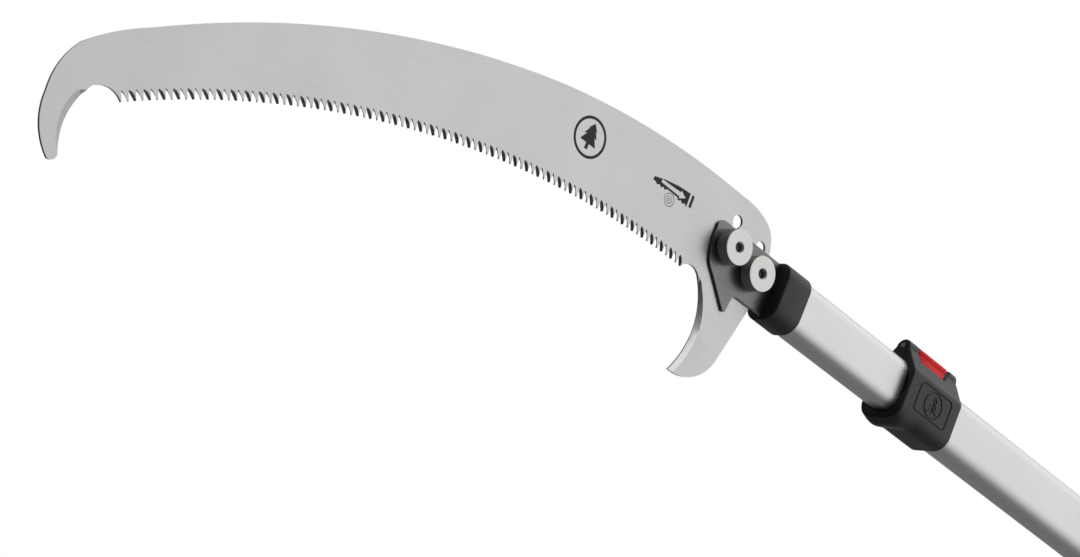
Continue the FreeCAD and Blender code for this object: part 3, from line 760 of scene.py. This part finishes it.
def tube(name, node, wide, thick, corner, body, stops=(), screws=()):
    """Drawn oval tube, unrolled to a sheet with its holes and wrapped round the section."""
    low, high = node_box(node)
    wall = 1.0
    corner_steps = 14
    section = oval(wide, thick, corner, corner_steps)
    seam = 3 * (corner_steps + 1)
    loop = [(-wide / 2, 0.0)] + section[seam:] + section[:seam]
    loop = [p for i, p in enumerate(loop) if i == 0 or math.dist(p, loop[i - 1]) > 1e-6]
    along = [0.0]
    closed = loop + [loop[0]]
    for i in range(1, len(closed)):
        along.append(along[-1] + math.dist(closed[i - 1], closed[i]))
    total = along[-1]
    inner = inset(loop, wall)
    closed_inner = inner + [inner[0]]

    def wrap(s, depth):
        s = min(max(s, 0.0), total)
        i = min(max(0, int(np.searchsorted(along, s, side="right")) - 1), len(loop) - 1)
        t = (s - along[i]) / (along[i + 1] - along[i])
        a = closed[i] if depth == 0 else closed_inner[i]
        b = closed[i + 1] if depth == 0 else closed_inner[i + 1]
        return (a[0] + (b[0] - a[0]) * t, a[1] + (b[1] - a[1]) * t)

    def unrolled(x, y):
        """Distance along the section of its nearest point."""
        samples = 1600
        best = min(range(samples), key=lambda k: math.dist(wrap(total * k / samples, 0), (x, y)))
        return total * best / samples

    z0, z1 = low.z, high.z
    bottom = [(s, z0) for s in along]
    top = [(s, z1) for s in along[::-1]]
    lines = [[(s, z0), (s, z1)] for s in along[1:-1]]
    loops = [bottom + top]
    edge = unrolled(wide / 2, 0)
    for z, r in stops:
        loops.append([(edge + r * math.cos(2 * math.pi * i / 28), z + r * math.sin(2 * math.pi * i / 28))
                      for i in range(28)])
    for x, z, r in screws:
        s0 = unrolled(x, thick / 2)
        loops.append([(s0 + r * math.cos(2 * math.pi * i / 20), z + r * math.sin(2 * math.pi * i / 20))
                      for i in range(20)])
    flat, faces, _ = triangles(loops, lines)
    n = len(flat)
    verts = []
    for depth in (0, 1):
        for v in flat:
            x, y = wrap(v.x, depth)
            verts.append((x, y, v.y))
    seen = {}
    for f in faces:
        for i in range(len(f)):
            seen[(f[i], f[(i + 1) % len(f)])] = True
    walls = []
    for a, b in seen:
        if (b, a) in seen:
            continue
        on_seam = all(flat[i].x < 1e-4 for i in (a, b)) or all(flat[i].x > total - 1e-4 for i in (a, b))
        if not on_seam:
            walls.append((a, b, b + n, a + n)[::-1])
    polygons = [tuple(f) for f in faces] + [tuple(i + n for i in f)[::-1] for f in faces] + walls
    made = new_piece(name, verts, polygons, STEEL["tube"], 30.0)
    return place(made, body, "anodised_tube", node)


upper_lock = (node_box("upper_lock_pin")[0].z + node_box("upper_lock_pin")[1].z) / 2
lower_lock = (node_box("lower_lock_pin")[0].z + node_box("lower_lock_pin")[1].z) / 2
upper_clamp_z = node_box("upper_clamp")[0].z
lower_clamp_z = node_box("lower_clamp")[0].z
STOP_R = 2.4
tube("inner_tube", "tube_top", 30.0, 20.0, 7.5, "head", [(upper_lock - 150 * k, STOP_R) for k in range(8)])
tube("centre_tube", "tube_middle", 32.8, 22.8, 8.9, "middle_pole",
     [(lower_lock - 150 * k, STOP_R) for k in range(8)],
     [(x, upper_clamp_z + 13.0, 1.7) for x in (-5.5, 5.5)])
tube("outer_tube", "tube_bottom", 35.6, 25.6, 10.3, "lower_pole", (),
     [(x, lower_clamp_z + 13.0, 1.7) for x in (-5.5, 5.5)])

# ---------------------------------------------------------------- collar


def lifted(points, z):
    return [(x, y, z) for x, y in points]


def cup(name, node, outer, bore, depth, radius, material):
    """Moulded cup: bore from below, rounded outer edges."""
    low, high = node_box(node)
    rings = [lifted(bore, high.z - depth), lifted(bore, low.z + 0.3), lifted(inset(bore, -0.3), low.z)]
    for amount, drop in round_profile(radius * 0.7):
        rings.append(lifted(inset(outer, amount), low.z + drop))
    for amount, drop in reversed(round_profile(radius)):
        rings.append(lifted(inset(outer, amount), high.z - drop))
    return loft(name, rings, material)


collar = cup("head_collar", "collar", oval(33.2, 22.6, 9.2, 12), oval(30.1, 20.1, 7.55, 12), 1.9, 1.3,
             NYLON["black"])
place(collar, "head", "black_nylon", "collar")

# ---------------------------------------------------------------- clamps and buttons


def run(a, b, count):
    return [(a[0] + (b[0] - a[0]) * i / count, a[1] + (b[1] - a[1]) * i / count) for i in range(1, count + 1)]


def clamp_ring(step, lip):
    """Sleeve outline with the raised ridge on its +X edge; lip swells the -X side at the mouth."""
    side = 15.0 + step
    left, right = -10.8, 8.4 + step
    ridge = 22.9 + step
    back = -18.6 - step - lip
    bend_x, bend_y = -16.2 - step - 0.7 * lip, 12.3 + step - 0.1 * lip
    points = [(left, -side)]
    points += run(points[-1], (right, -side), 8)
    points += arc(points[-1], (right + 2.1, -side + 0.65), (right + 3.8, -side + 2.1), 5)
    points += run(points[-1], (ridge, -5.0), 4)
    points += arc(points[-1], (ridge + 5.0, 0.0), (ridge, 5.0), 18)
    points += run(points[-1], (right + 3.8, side - 2.1), 4)
    points += arc(points[-1], (right + 2.1, side - 0.65), (right, side), 5)
    points += run(points[-1], (left, side), 8)
    points += arc(points[-1], (bend_x, bend_y), (back, 6.0), 10)
    points += run(points[-1], (back, -6.0), 6)
    points += arc(points[-1], (bend_x, -bend_y), (left, -side), 10)
    return points[:-1]


def bore_ring(like, wide, thick, corner):
    """Oval bore with one point in line with each point of another ring."""
    fine = oval(wide, thick, corner, 24)
    angles = np.array([math.atan2(y, x) for x, y in fine])
    reach = np.array([math.hypot(x, y) for x, y in fine])
    order = np.argsort(angles)
    angles, reach = angles[order], reach[order]
    made = []
    for x, y in like:
        t = math.atan2(y, x)
        r = float(np.interp(t, angles, reach, period=2 * math.pi))
        made.append((r * math.cos(t), r * math.sin(t)))
    return made


def prism(name, points, y0, y1, holes=()):
    return slab(name, [points] + list(holes), y0, y1, NYLON["black"])


def rounded_box(x0, z0, x1, z1, r, count=5):
    return [(x + (x0 + x1) / 2, z + (z0 + z1) / 2) for x, z in oval(x1 - x0, z1 - z0, r, count)]


LIP = 2.95


def clamp(name, node, body, step, inner, outer):
    low, high = node_box(node)
    z0, z1 = low.z, high.z
    rings = []
    for amount, drop in round_profile(0.8):
        rings.append(lifted(inset(clamp_ring(step, 0.0), amount), z0 + drop))
    rings.append(lifted(clamp_ring(step, 0.0), z0 + 20.0))
    for i in range(9):
        t = i / 8
        rings.append(lifted(clamp_ring(step, LIP * smooth(t)), z0 + 25.5 + 11.5 * t))
    for i in range(1, 5):
        rings.append(lifted(clamp_ring(step, LIP - 1.7 * (i / 4) ** 1.6), z0 + 37.0 + 1.2 * i))
    for amount, drop in reversed(round_profile(1.3)):
        rings.append(lifted(inset(clamp_ring(step, LIP - 1.75), amount), z1 - drop))
    like = clamp_ring(step, 0.0)
    mouth = bore_ring(like, *inner)
    seat = bore_ring(like, *outer)
    rings += [lifted(inset(mouth, -0.35), z1), lifted(mouth, z1 - 0.35), lifted(mouth, z0 + 27.2),
              lifted(seat, z0 + 27.2)]
    rings += [lifted(seat, z0 + 0.3), lifted(inset(seat, -0.3), z0)]
    made = loft(name, rings, NYLON["black"], closed=True)
    floor, crown, side = 17.4 + step, 32.0 + step, 15.0 + step
    slot_top = z0 + 34.8
    rail = floor + 0.55
    wall = 8.64
    cutters = [
        prism("slot", [(rail, z0 + 12.8), (25.2 + step, z0 + 5.9), (crown, z0 + 3.0), (crown, slot_top),
                       (rail, slot_top)], -20, 20),
        prism("well", [(floor, z0 + 13.3), (rail + 0.4, z0 + 12.5), (rail + 0.4, slot_top),
                       (floor, slot_top)],
              -wall, wall),
    ]
    for y0, y1 in ((-wall, -5.9), (5.9, wall)):
        cutters.append(prism("floor", [(floor - 1.5, z0 + 14.0), (floor + 0.3, z0 + 14.0),
                                       (floor + 0.3, slot_top),
                                       (floor - 1.5, slot_top)], y0, y1))
    deep = -side + 0.5
    proud = -side - 1.0
    x0, x1, e0, e1 = -10.0, 7.6, z0 + 7.2, z0 + 35.2
    cutters.append(prism("frame_groove", rounded_box(x0, e0, x1, e1, 2.8), proud, deep,
                         [rounded_box(x0 + 0.9, e0 + 0.9, x1 - 0.9, e1 - 0.9, 2.0)]))
    mid_x, mid_z = (x0 + x1) / 2, (e0 + e1) / 2
    cutters.append(prism("ring_groove", ring_points(mid_x, mid_z, 7.6), proud, deep,
                         [ring_points(mid_x, mid_z, 6.6)]))
    stroke = 1.1
    stem = [(mid_x - 4.6, mid_z - stroke / 2), (mid_x + 4.4, mid_z - stroke / 2),
            (mid_x + 4.4, mid_z + stroke / 2),
            (mid_x - 4.6, mid_z + stroke / 2)]
    cutters.append(prism("stem_groove", stem, proud, deep))
    for tip, reach in ((5.4, 2.2), (2.7, 3.1), (0.0, 3.9)):
        bough = [(tip, 0.0), (tip - reach, reach), (tip - reach - 1.3, reach), (tip - 1.3, 0.0),
                 (tip - reach - 1.3, -reach), (tip - reach, -reach)]
        cutters.append(prism("bough_groove", [(mid_x + x, mid_z + z) for x, z in bough], proud, deep))
    inset_x, inset_y = 24.0 + step, 0.2
    key_seat = [(inset_x - 1.4, inset_y - 1.5), (inset_x + 1.4, inset_y - 1.5),
                (inset_x + 1.4, inset_y + 1.5),
                (inset_x - 1.4, inset_y + 1.5)]
    pocket = loft("pocket", [lifted(key_seat, z1 - 0.5), lifted(key_seat, z1 + 1.0)], NYLON["black"])
    cutters.append(pocket)
    carved(made, cutters, 30.0)
    place(made, body, "black_nylon", node)
    seat_low = inset(key_seat, 0.08)
    # Pin end in the mouth's top face: pale grey, partly a painted highlight.
    pin = loft(name + "_pin_end",
               [lifted(seat_low, z1 - 0.5), lifted(seat_low, z1 - 0.2),
                lifted(inset(seat_low, 0.15), z1 - 0.06)],
               NYLON["insert_painted_highlight"])
    place(pin, body, "guide_nylon")


def release_button(name, node, body, step):
    """Rocker cap, flush with the ridge's flanks, raked at its butt end and hollow underneath."""
    low, high = node_box(node)
    ridge, foot = 22.9 + step, 18.0 + step
    crown = high.x - ridge
    flank, shoulder, belly = 8.55, 4.9, 6.5

    def section(shrink):
        points = [(foot, -flank)] + run((foot, -flank), (ridge, -shoulder), 8)
        points += arc(points[-1], (high.x, 0.0), (ridge, shoulder), 24)
        points += run(points[-1], (foot, flank), 8)
        points += [(foot, belly), (foot + 1.2, belly), (foot + 1.2, -belly), (foot, -belly)]
        return inset(points, shrink)

    def rake(x):
        """Height of the raked end at a reach from the pole."""
        return low.z + 7.0 * min(1.0, max(0.0, 1 - (x - foot) / (ridge + crown - foot)))

    rings = [lifted(section(shrink), high.z - drop) for shrink,
             drop in ((0.45, 0.0), (0.15, 0.12), (0.0, 0.45))]
    rings.append(lifted(section(0.0), (low.z + high.z) / 2))
    for shrink, lift in ((0.0, 0.45), (0.15, 0.12), (0.45, 0.0)):
        rings.append([(x, y, rake(x) + lift) for x, y in section(shrink)])
    made = loft(name, rings, NYLON["red"])
    start = high.z - 18.95
    hollow = prism("hollow", [(foot - 2, start), (ridge + 1.2, start), (ridge + 1.2, high.z - 1.8),
                              (foot - 2, high.z - 1.8)], -3.0, 3.0)
    carved(made, [hollow], 30.0)
    return place(made, body, "red_nylon", node)


def coil_spring(name, node, body):
    """Compression spring between the clamp and the button."""
    low, high = node_box(node)
    wire = 0.25
    coil = (high.z - low.z) / 2 - wire
    mid_y, mid_z = (low.y + high.y) / 2, (low.z + high.z) / 2
    turns, per_turn = 5.0, 30
    rings = []
    for i in range(int(turns * per_turn) + 1):
        turn = i / per_turn
        share = min(1.0, max(0.0, (turn - 0.6) / (turns - 1.2)))
        x = low.x + wire + (high.x - low.x - 2 * wire) * share
        t = 2 * math.pi * turn
        ring = []
        for k in range(10):
            a = 2 * math.pi * k / 10
            r = coil + wire * math.cos(a)
            ring.append((x + wire * math.sin(a), mid_y + r * math.cos(t), mid_z + r * math.sin(t)))
        rings.append(ring)
    made = loft(name, rings, STEEL["pin"], sharp=50.0)
    place(made, body, "spring_steel", node)
    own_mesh(made)


clamp("upper_clamp_moulding", "upper_clamp", "middle_pole", 0.0, (30.8, 20.8, 7.9), (33.0, 23.0, 9.0))
clamp("lower_clamp_moulding", "lower_clamp", "lower_pole", 1.4, (33.6, 23.6, 9.3), (35.8, 25.8, 10.4))
release_button("upper_release_button", "upper_button", "upper_release", 0.0)
release_button("lower_release_button", "lower_button", "lower_release", 1.4)
coil_spring("upper_coil_spring", "upper_button_spring", "middle_pole")
coil_spring("lower_coil_spring", "lower_button_spring", "lower_pole")

# ---------------------------------------------------------------- grip and butt cap

grip_low, grip_high = node_box("grip")
outer = oval(40.0, 30.0, 12.5, 12)
bore = oval(35.6, 25.6, 10.3, 12)
rings = [lifted(bore, grip_high.z), lifted(bore, grip_low.z)]
for amount, drop in round_profile(1.2, 3):
    rings.append(lifted(inset(outer, amount), grip_low.z + drop))
rib = 6.0
z = grip_low.z + 12.0
while z + rib < grip_high.z - 16.0:
    for share, amount in ((0.0, 0.0), (0.62, 0.0), (0.72, 0.25), (0.80, 0.85), (0.92, 0.85), (0.98, 0.25)):
        rings.append(lifted(inset(outer, amount), z + rib * share))
    z += rib
rings.append(lifted(outer, z))
for amount, drop in reversed(round_profile(1.2, 3)):
    rings.append(lifted(inset(outer, amount), grip_high.z - drop))
grip = loft("ribbed_grip", rings, NYLON["rubber"], closed=True, sharp=40.0)
place(grip, "lower_pole", "grip_rubber", "grip")

cap_low, cap_high = node_box("butt_cap")
BLOCK_TOP = 23.9
block = oval(40.0, 30.0, 12.0, 12)
spigot = oval(33.5, 23.5, 9.3, 12)
rings = []
for amount, drop in round_profile(2.2, 4):
    rings.append(lifted(inset(block, amount), cap_low.z + drop))
for amount, drop in reversed(round_profile(0.6, 2)):
    rings.append(lifted(inset(block, amount), BLOCK_TOP - drop))
rings.append(lifted(spigot, BLOCK_TOP))
rings.append(lifted(spigot, cap_high.z - 1.0))
rings.append(lifted(inset(spigot, 1.0), cap_high.z))
cap = loft("rubber_butt_cap", rings, NYLON["rubber"])
HANG_R, HANG_Z = 4.0, 12.0
flare = 1.2
drill = lathe("drill", 0.0, HANG_Z,
              [(0.05, -17.0), (HANG_R + 2 * flare, -17.0), (HANG_R + flare, -15.0),
               (HANG_R + 0.35 * flare, -14.4),
                                      (HANG_R, -13.6), (HANG_R, 13.6), (HANG_R + 0.35 * flare, 14.4),
                                      (HANG_R + flare, 15.0), (HANG_R + 2 * flare, 17.0), (0.05, 17.0)],
              NYLON["rubber"], 40, False)
carved(cap, [drill], 28.0)
place(cap, "lower_pole", "cap_rubber", "butt_cap")

# ---------------------------------------------------------------- clamp screws


def screw_head(name, node, body):
    low, high = node_box(node)
    verts, faces = [], []
    mid_z = (low.z + high.z) / 2
    top = high.y
    for x in (-5.5, 5.5):
        profile = [(0.05, top - 0.75), (1.25, top - 0.75), (1.4, top), (2.2, top - 0.05),
                   (2.8, top - 0.35), (3.0, top - 0.8),
                   (3.0, top - 1.15), (1.65, top - 1.15), (1.65, low.y + 0.3), (1.3, low.y), (0.05, low.y)]
        segments = 36
        base = len(verts)
        for index, (radius, y) in enumerate(profile):
            for i in range(segments):
                t = 2 * math.pi * i / segments
                r = radius
                if index in (1, 2):
                    side = (t % (math.pi / 3)) - math.pi / 6
                    r = radius * math.cos(math.pi / 6) / math.cos(side)
                verts.append((x + r * math.cos(t), y, mid_z + r * math.sin(t)))
        rows = len(profile)
        for row in range(rows - 1):
            a, b = base + row * segments, base + (row + 1) * segments
            faces += [(a + i, a + (i + 1) % segments, b + (i + 1) % segments, b + i) for i in range(segments)]
        faces.append(tuple(base + i for i in range(segments)))
        faces.append(tuple(base + (rows - 1) * segments + i for i in range(segments)))
    made = new_piece(name, verts, faces, STEEL["stud"], 28.0)
    return place(made, body, "screw_steel", node)


screw_head("upper_clamp_bolts", "upper_clamp_screws", "middle_pole")
screw_head("lower_clamp_bolts", "lower_clamp_screws", "lower_pole")

# ---------------------------------------------------------------- finishes on CAD nodes that stay

FINISH = {
    "head_plug": NYLON["guide"], "head_rivets": STEEL["pin"],
    "top_foot_guide": NYLON["guide"], "middle_foot_guide": NYLON["guide"],
    "upper_button_pin": STEEL["pin"], "lower_button_pin": STEEL["pin"],
    "upper_lock_pin": STEEL["pin"], "lower_lock_pin": STEEL["pin"],
}
for node, material in FINISH.items():
    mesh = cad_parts[node].data
    mesh.materials.clear()
    mesh.materials.append(material)

# ---------------------------------------------------------------- stage, light and camera

scene = bpy.context.scene
scene.view_settings.view_transform = "Standard"


def panel(name, where, towards, size, power, colour=(1.0, 1.0, 1.0)):
    data = bpy.data.lights.new(name, "AREA")
    data.shape = "RECTANGLE"
    data.size, data.size_y = size
    data.energy = power
    data.color = colour
    obj = bpy.data.objects.new(name, data)
    obj.location = where
    obj.rotation_mode = "QUATERNION"
    obj.rotation_quaternion = (Vector(towards) - Vector(where)).to_track_quat("-Z", "Y")
    obj.visible_camera = False
    scene.collection.objects.link(obj)
    return obj


floor_size = 60.0
mesh = bpy.data.meshes.new("studio_floor")
mesh.from_pydata([(-floor_size, -floor_size, 0), (floor_size, -floor_size, 0), (floor_size, floor_size, 0),
                  (-floor_size, floor_size, 0)], [], [(0, 1, 2, 3)])
floor = bpy.data.objects.new("studio_floor", mesh)
floor.location.z = cad_low.z - 0.0005
scene.collection.objects.link(floor)
material = bpy.data.materials.new("pale_floor")
material.use_nodes = True
nodes, links = material.node_tree.nodes, material.node_tree.links
nodes.remove(nodes["Principled BSDF"])
glow = nodes.new("ShaderNodeEmission")
glow.inputs["Strength"].default_value = 1.0
links.new(glow.outputs[0], nodes["Material Output"].inputs["Surface"])
floor.data.materials.append(material)
floor.visible_diffuse = floor.visible_glossy = floor.visible_shadow = False

world = bpy.data.worlds.new("studio")
scene.world = world
world.use_nodes = True
nodes, links = world.node_tree.nodes, world.node_tree.links
coords = nodes.new("ShaderNodeTexCoord")


def lobe(direction, start, stop, height):
    """Soft patch of studio light about a direction."""
    dot = nodes.new("ShaderNodeVectorMath")
    dot.operation = "DOT_PRODUCT"
    links.new(coords.outputs["Generated"], dot.inputs[0])
    dot.inputs[1].default_value = Vector(direction).normalized()
    made = nodes.new("ShaderNodeMapRange")
    made.interpolation_type = "SMOOTHSTEP"
    made.inputs["From Min"].default_value = start
    made.inputs["From Max"].default_value = stop
    made.inputs["To Max"].default_value = height
    links.new(dot.outputs["Value"], made.inputs["Value"])
    return made.outputs["Result"]


key = lobe((0.50, -0.76, -0.42), 0.05, 0.90, 0.95)
shade = lobe((0, 0, -1), -0.10, 0.42, 0.97)
lit = math_node(nodes, links, "MULTIPLY", key, math_node(nodes, links, "ADD", shade, 0.03))
fill = lobe((0.75, 0.60, -0.35), 0.35, 1.0, 0.45)
under = lobe((-0.60, 0.30, -0.70), 0.1, 1.0, 0.13)
total = math_node(nodes, links, "ADD", math_node(nodes, links, "ADD", lit, fill),
                  math_node(nodes, links, "ADD", under, 0.05))
back = nodes["Background"]
back.inputs["Color"].default_value = (1, 1, 1, 1)
links.new(total, back.inputs["Strength"])
white = nodes.new("ShaderNodeBackground")
white.inputs["Color"].default_value = (1, 1, 1, 1)
path = nodes.new("ShaderNodeLightPath")
mix = nodes.new("ShaderNodeMixShader")
links.new(path.outputs["Is Camera Ray"], mix.inputs["Fac"])
links.new(back.outputs[0], mix.inputs[1])
links.new(white.outputs[0], mix.inputs[2])
links.new(mix.outputs[0], nodes["World Output"].inputs["Surface"])

HEAD = (0.0, 0.0, 1.60)
panel("right_panel", (1.9, -1.5, 1.7), HEAD, (0.9, 0.9), 12)

EYE = (-462.5, -977.5, 2418.9)
RIGHT = (0.3745, -0.6423, -0.6687)
UP = (0.8744, 0.0046, 0.4853)
FORWARD = (0.3086, 0.7664, -0.5633)
data = bpy.data.cameras.new("camera")
data.lens = 88.99
data.sensor_width = 36.0
data.clip_start, data.clip_end = 0.05, 200.0
camera = bpy.data.objects.new("camera", data)
camera.matrix_world = Matrix([
    (RIGHT[0], UP[0], -FORWARD[0], EYE[0] * MM),
    (RIGHT[1], UP[1], -FORWARD[1], EYE[1] * MM),
    (RIGHT[2], UP[2], -FORWARD[2], EYE[2] * MM),
    (0, 0, 0, 1),
])
scene.collection.objects.link(camera)
scene.camera = camera
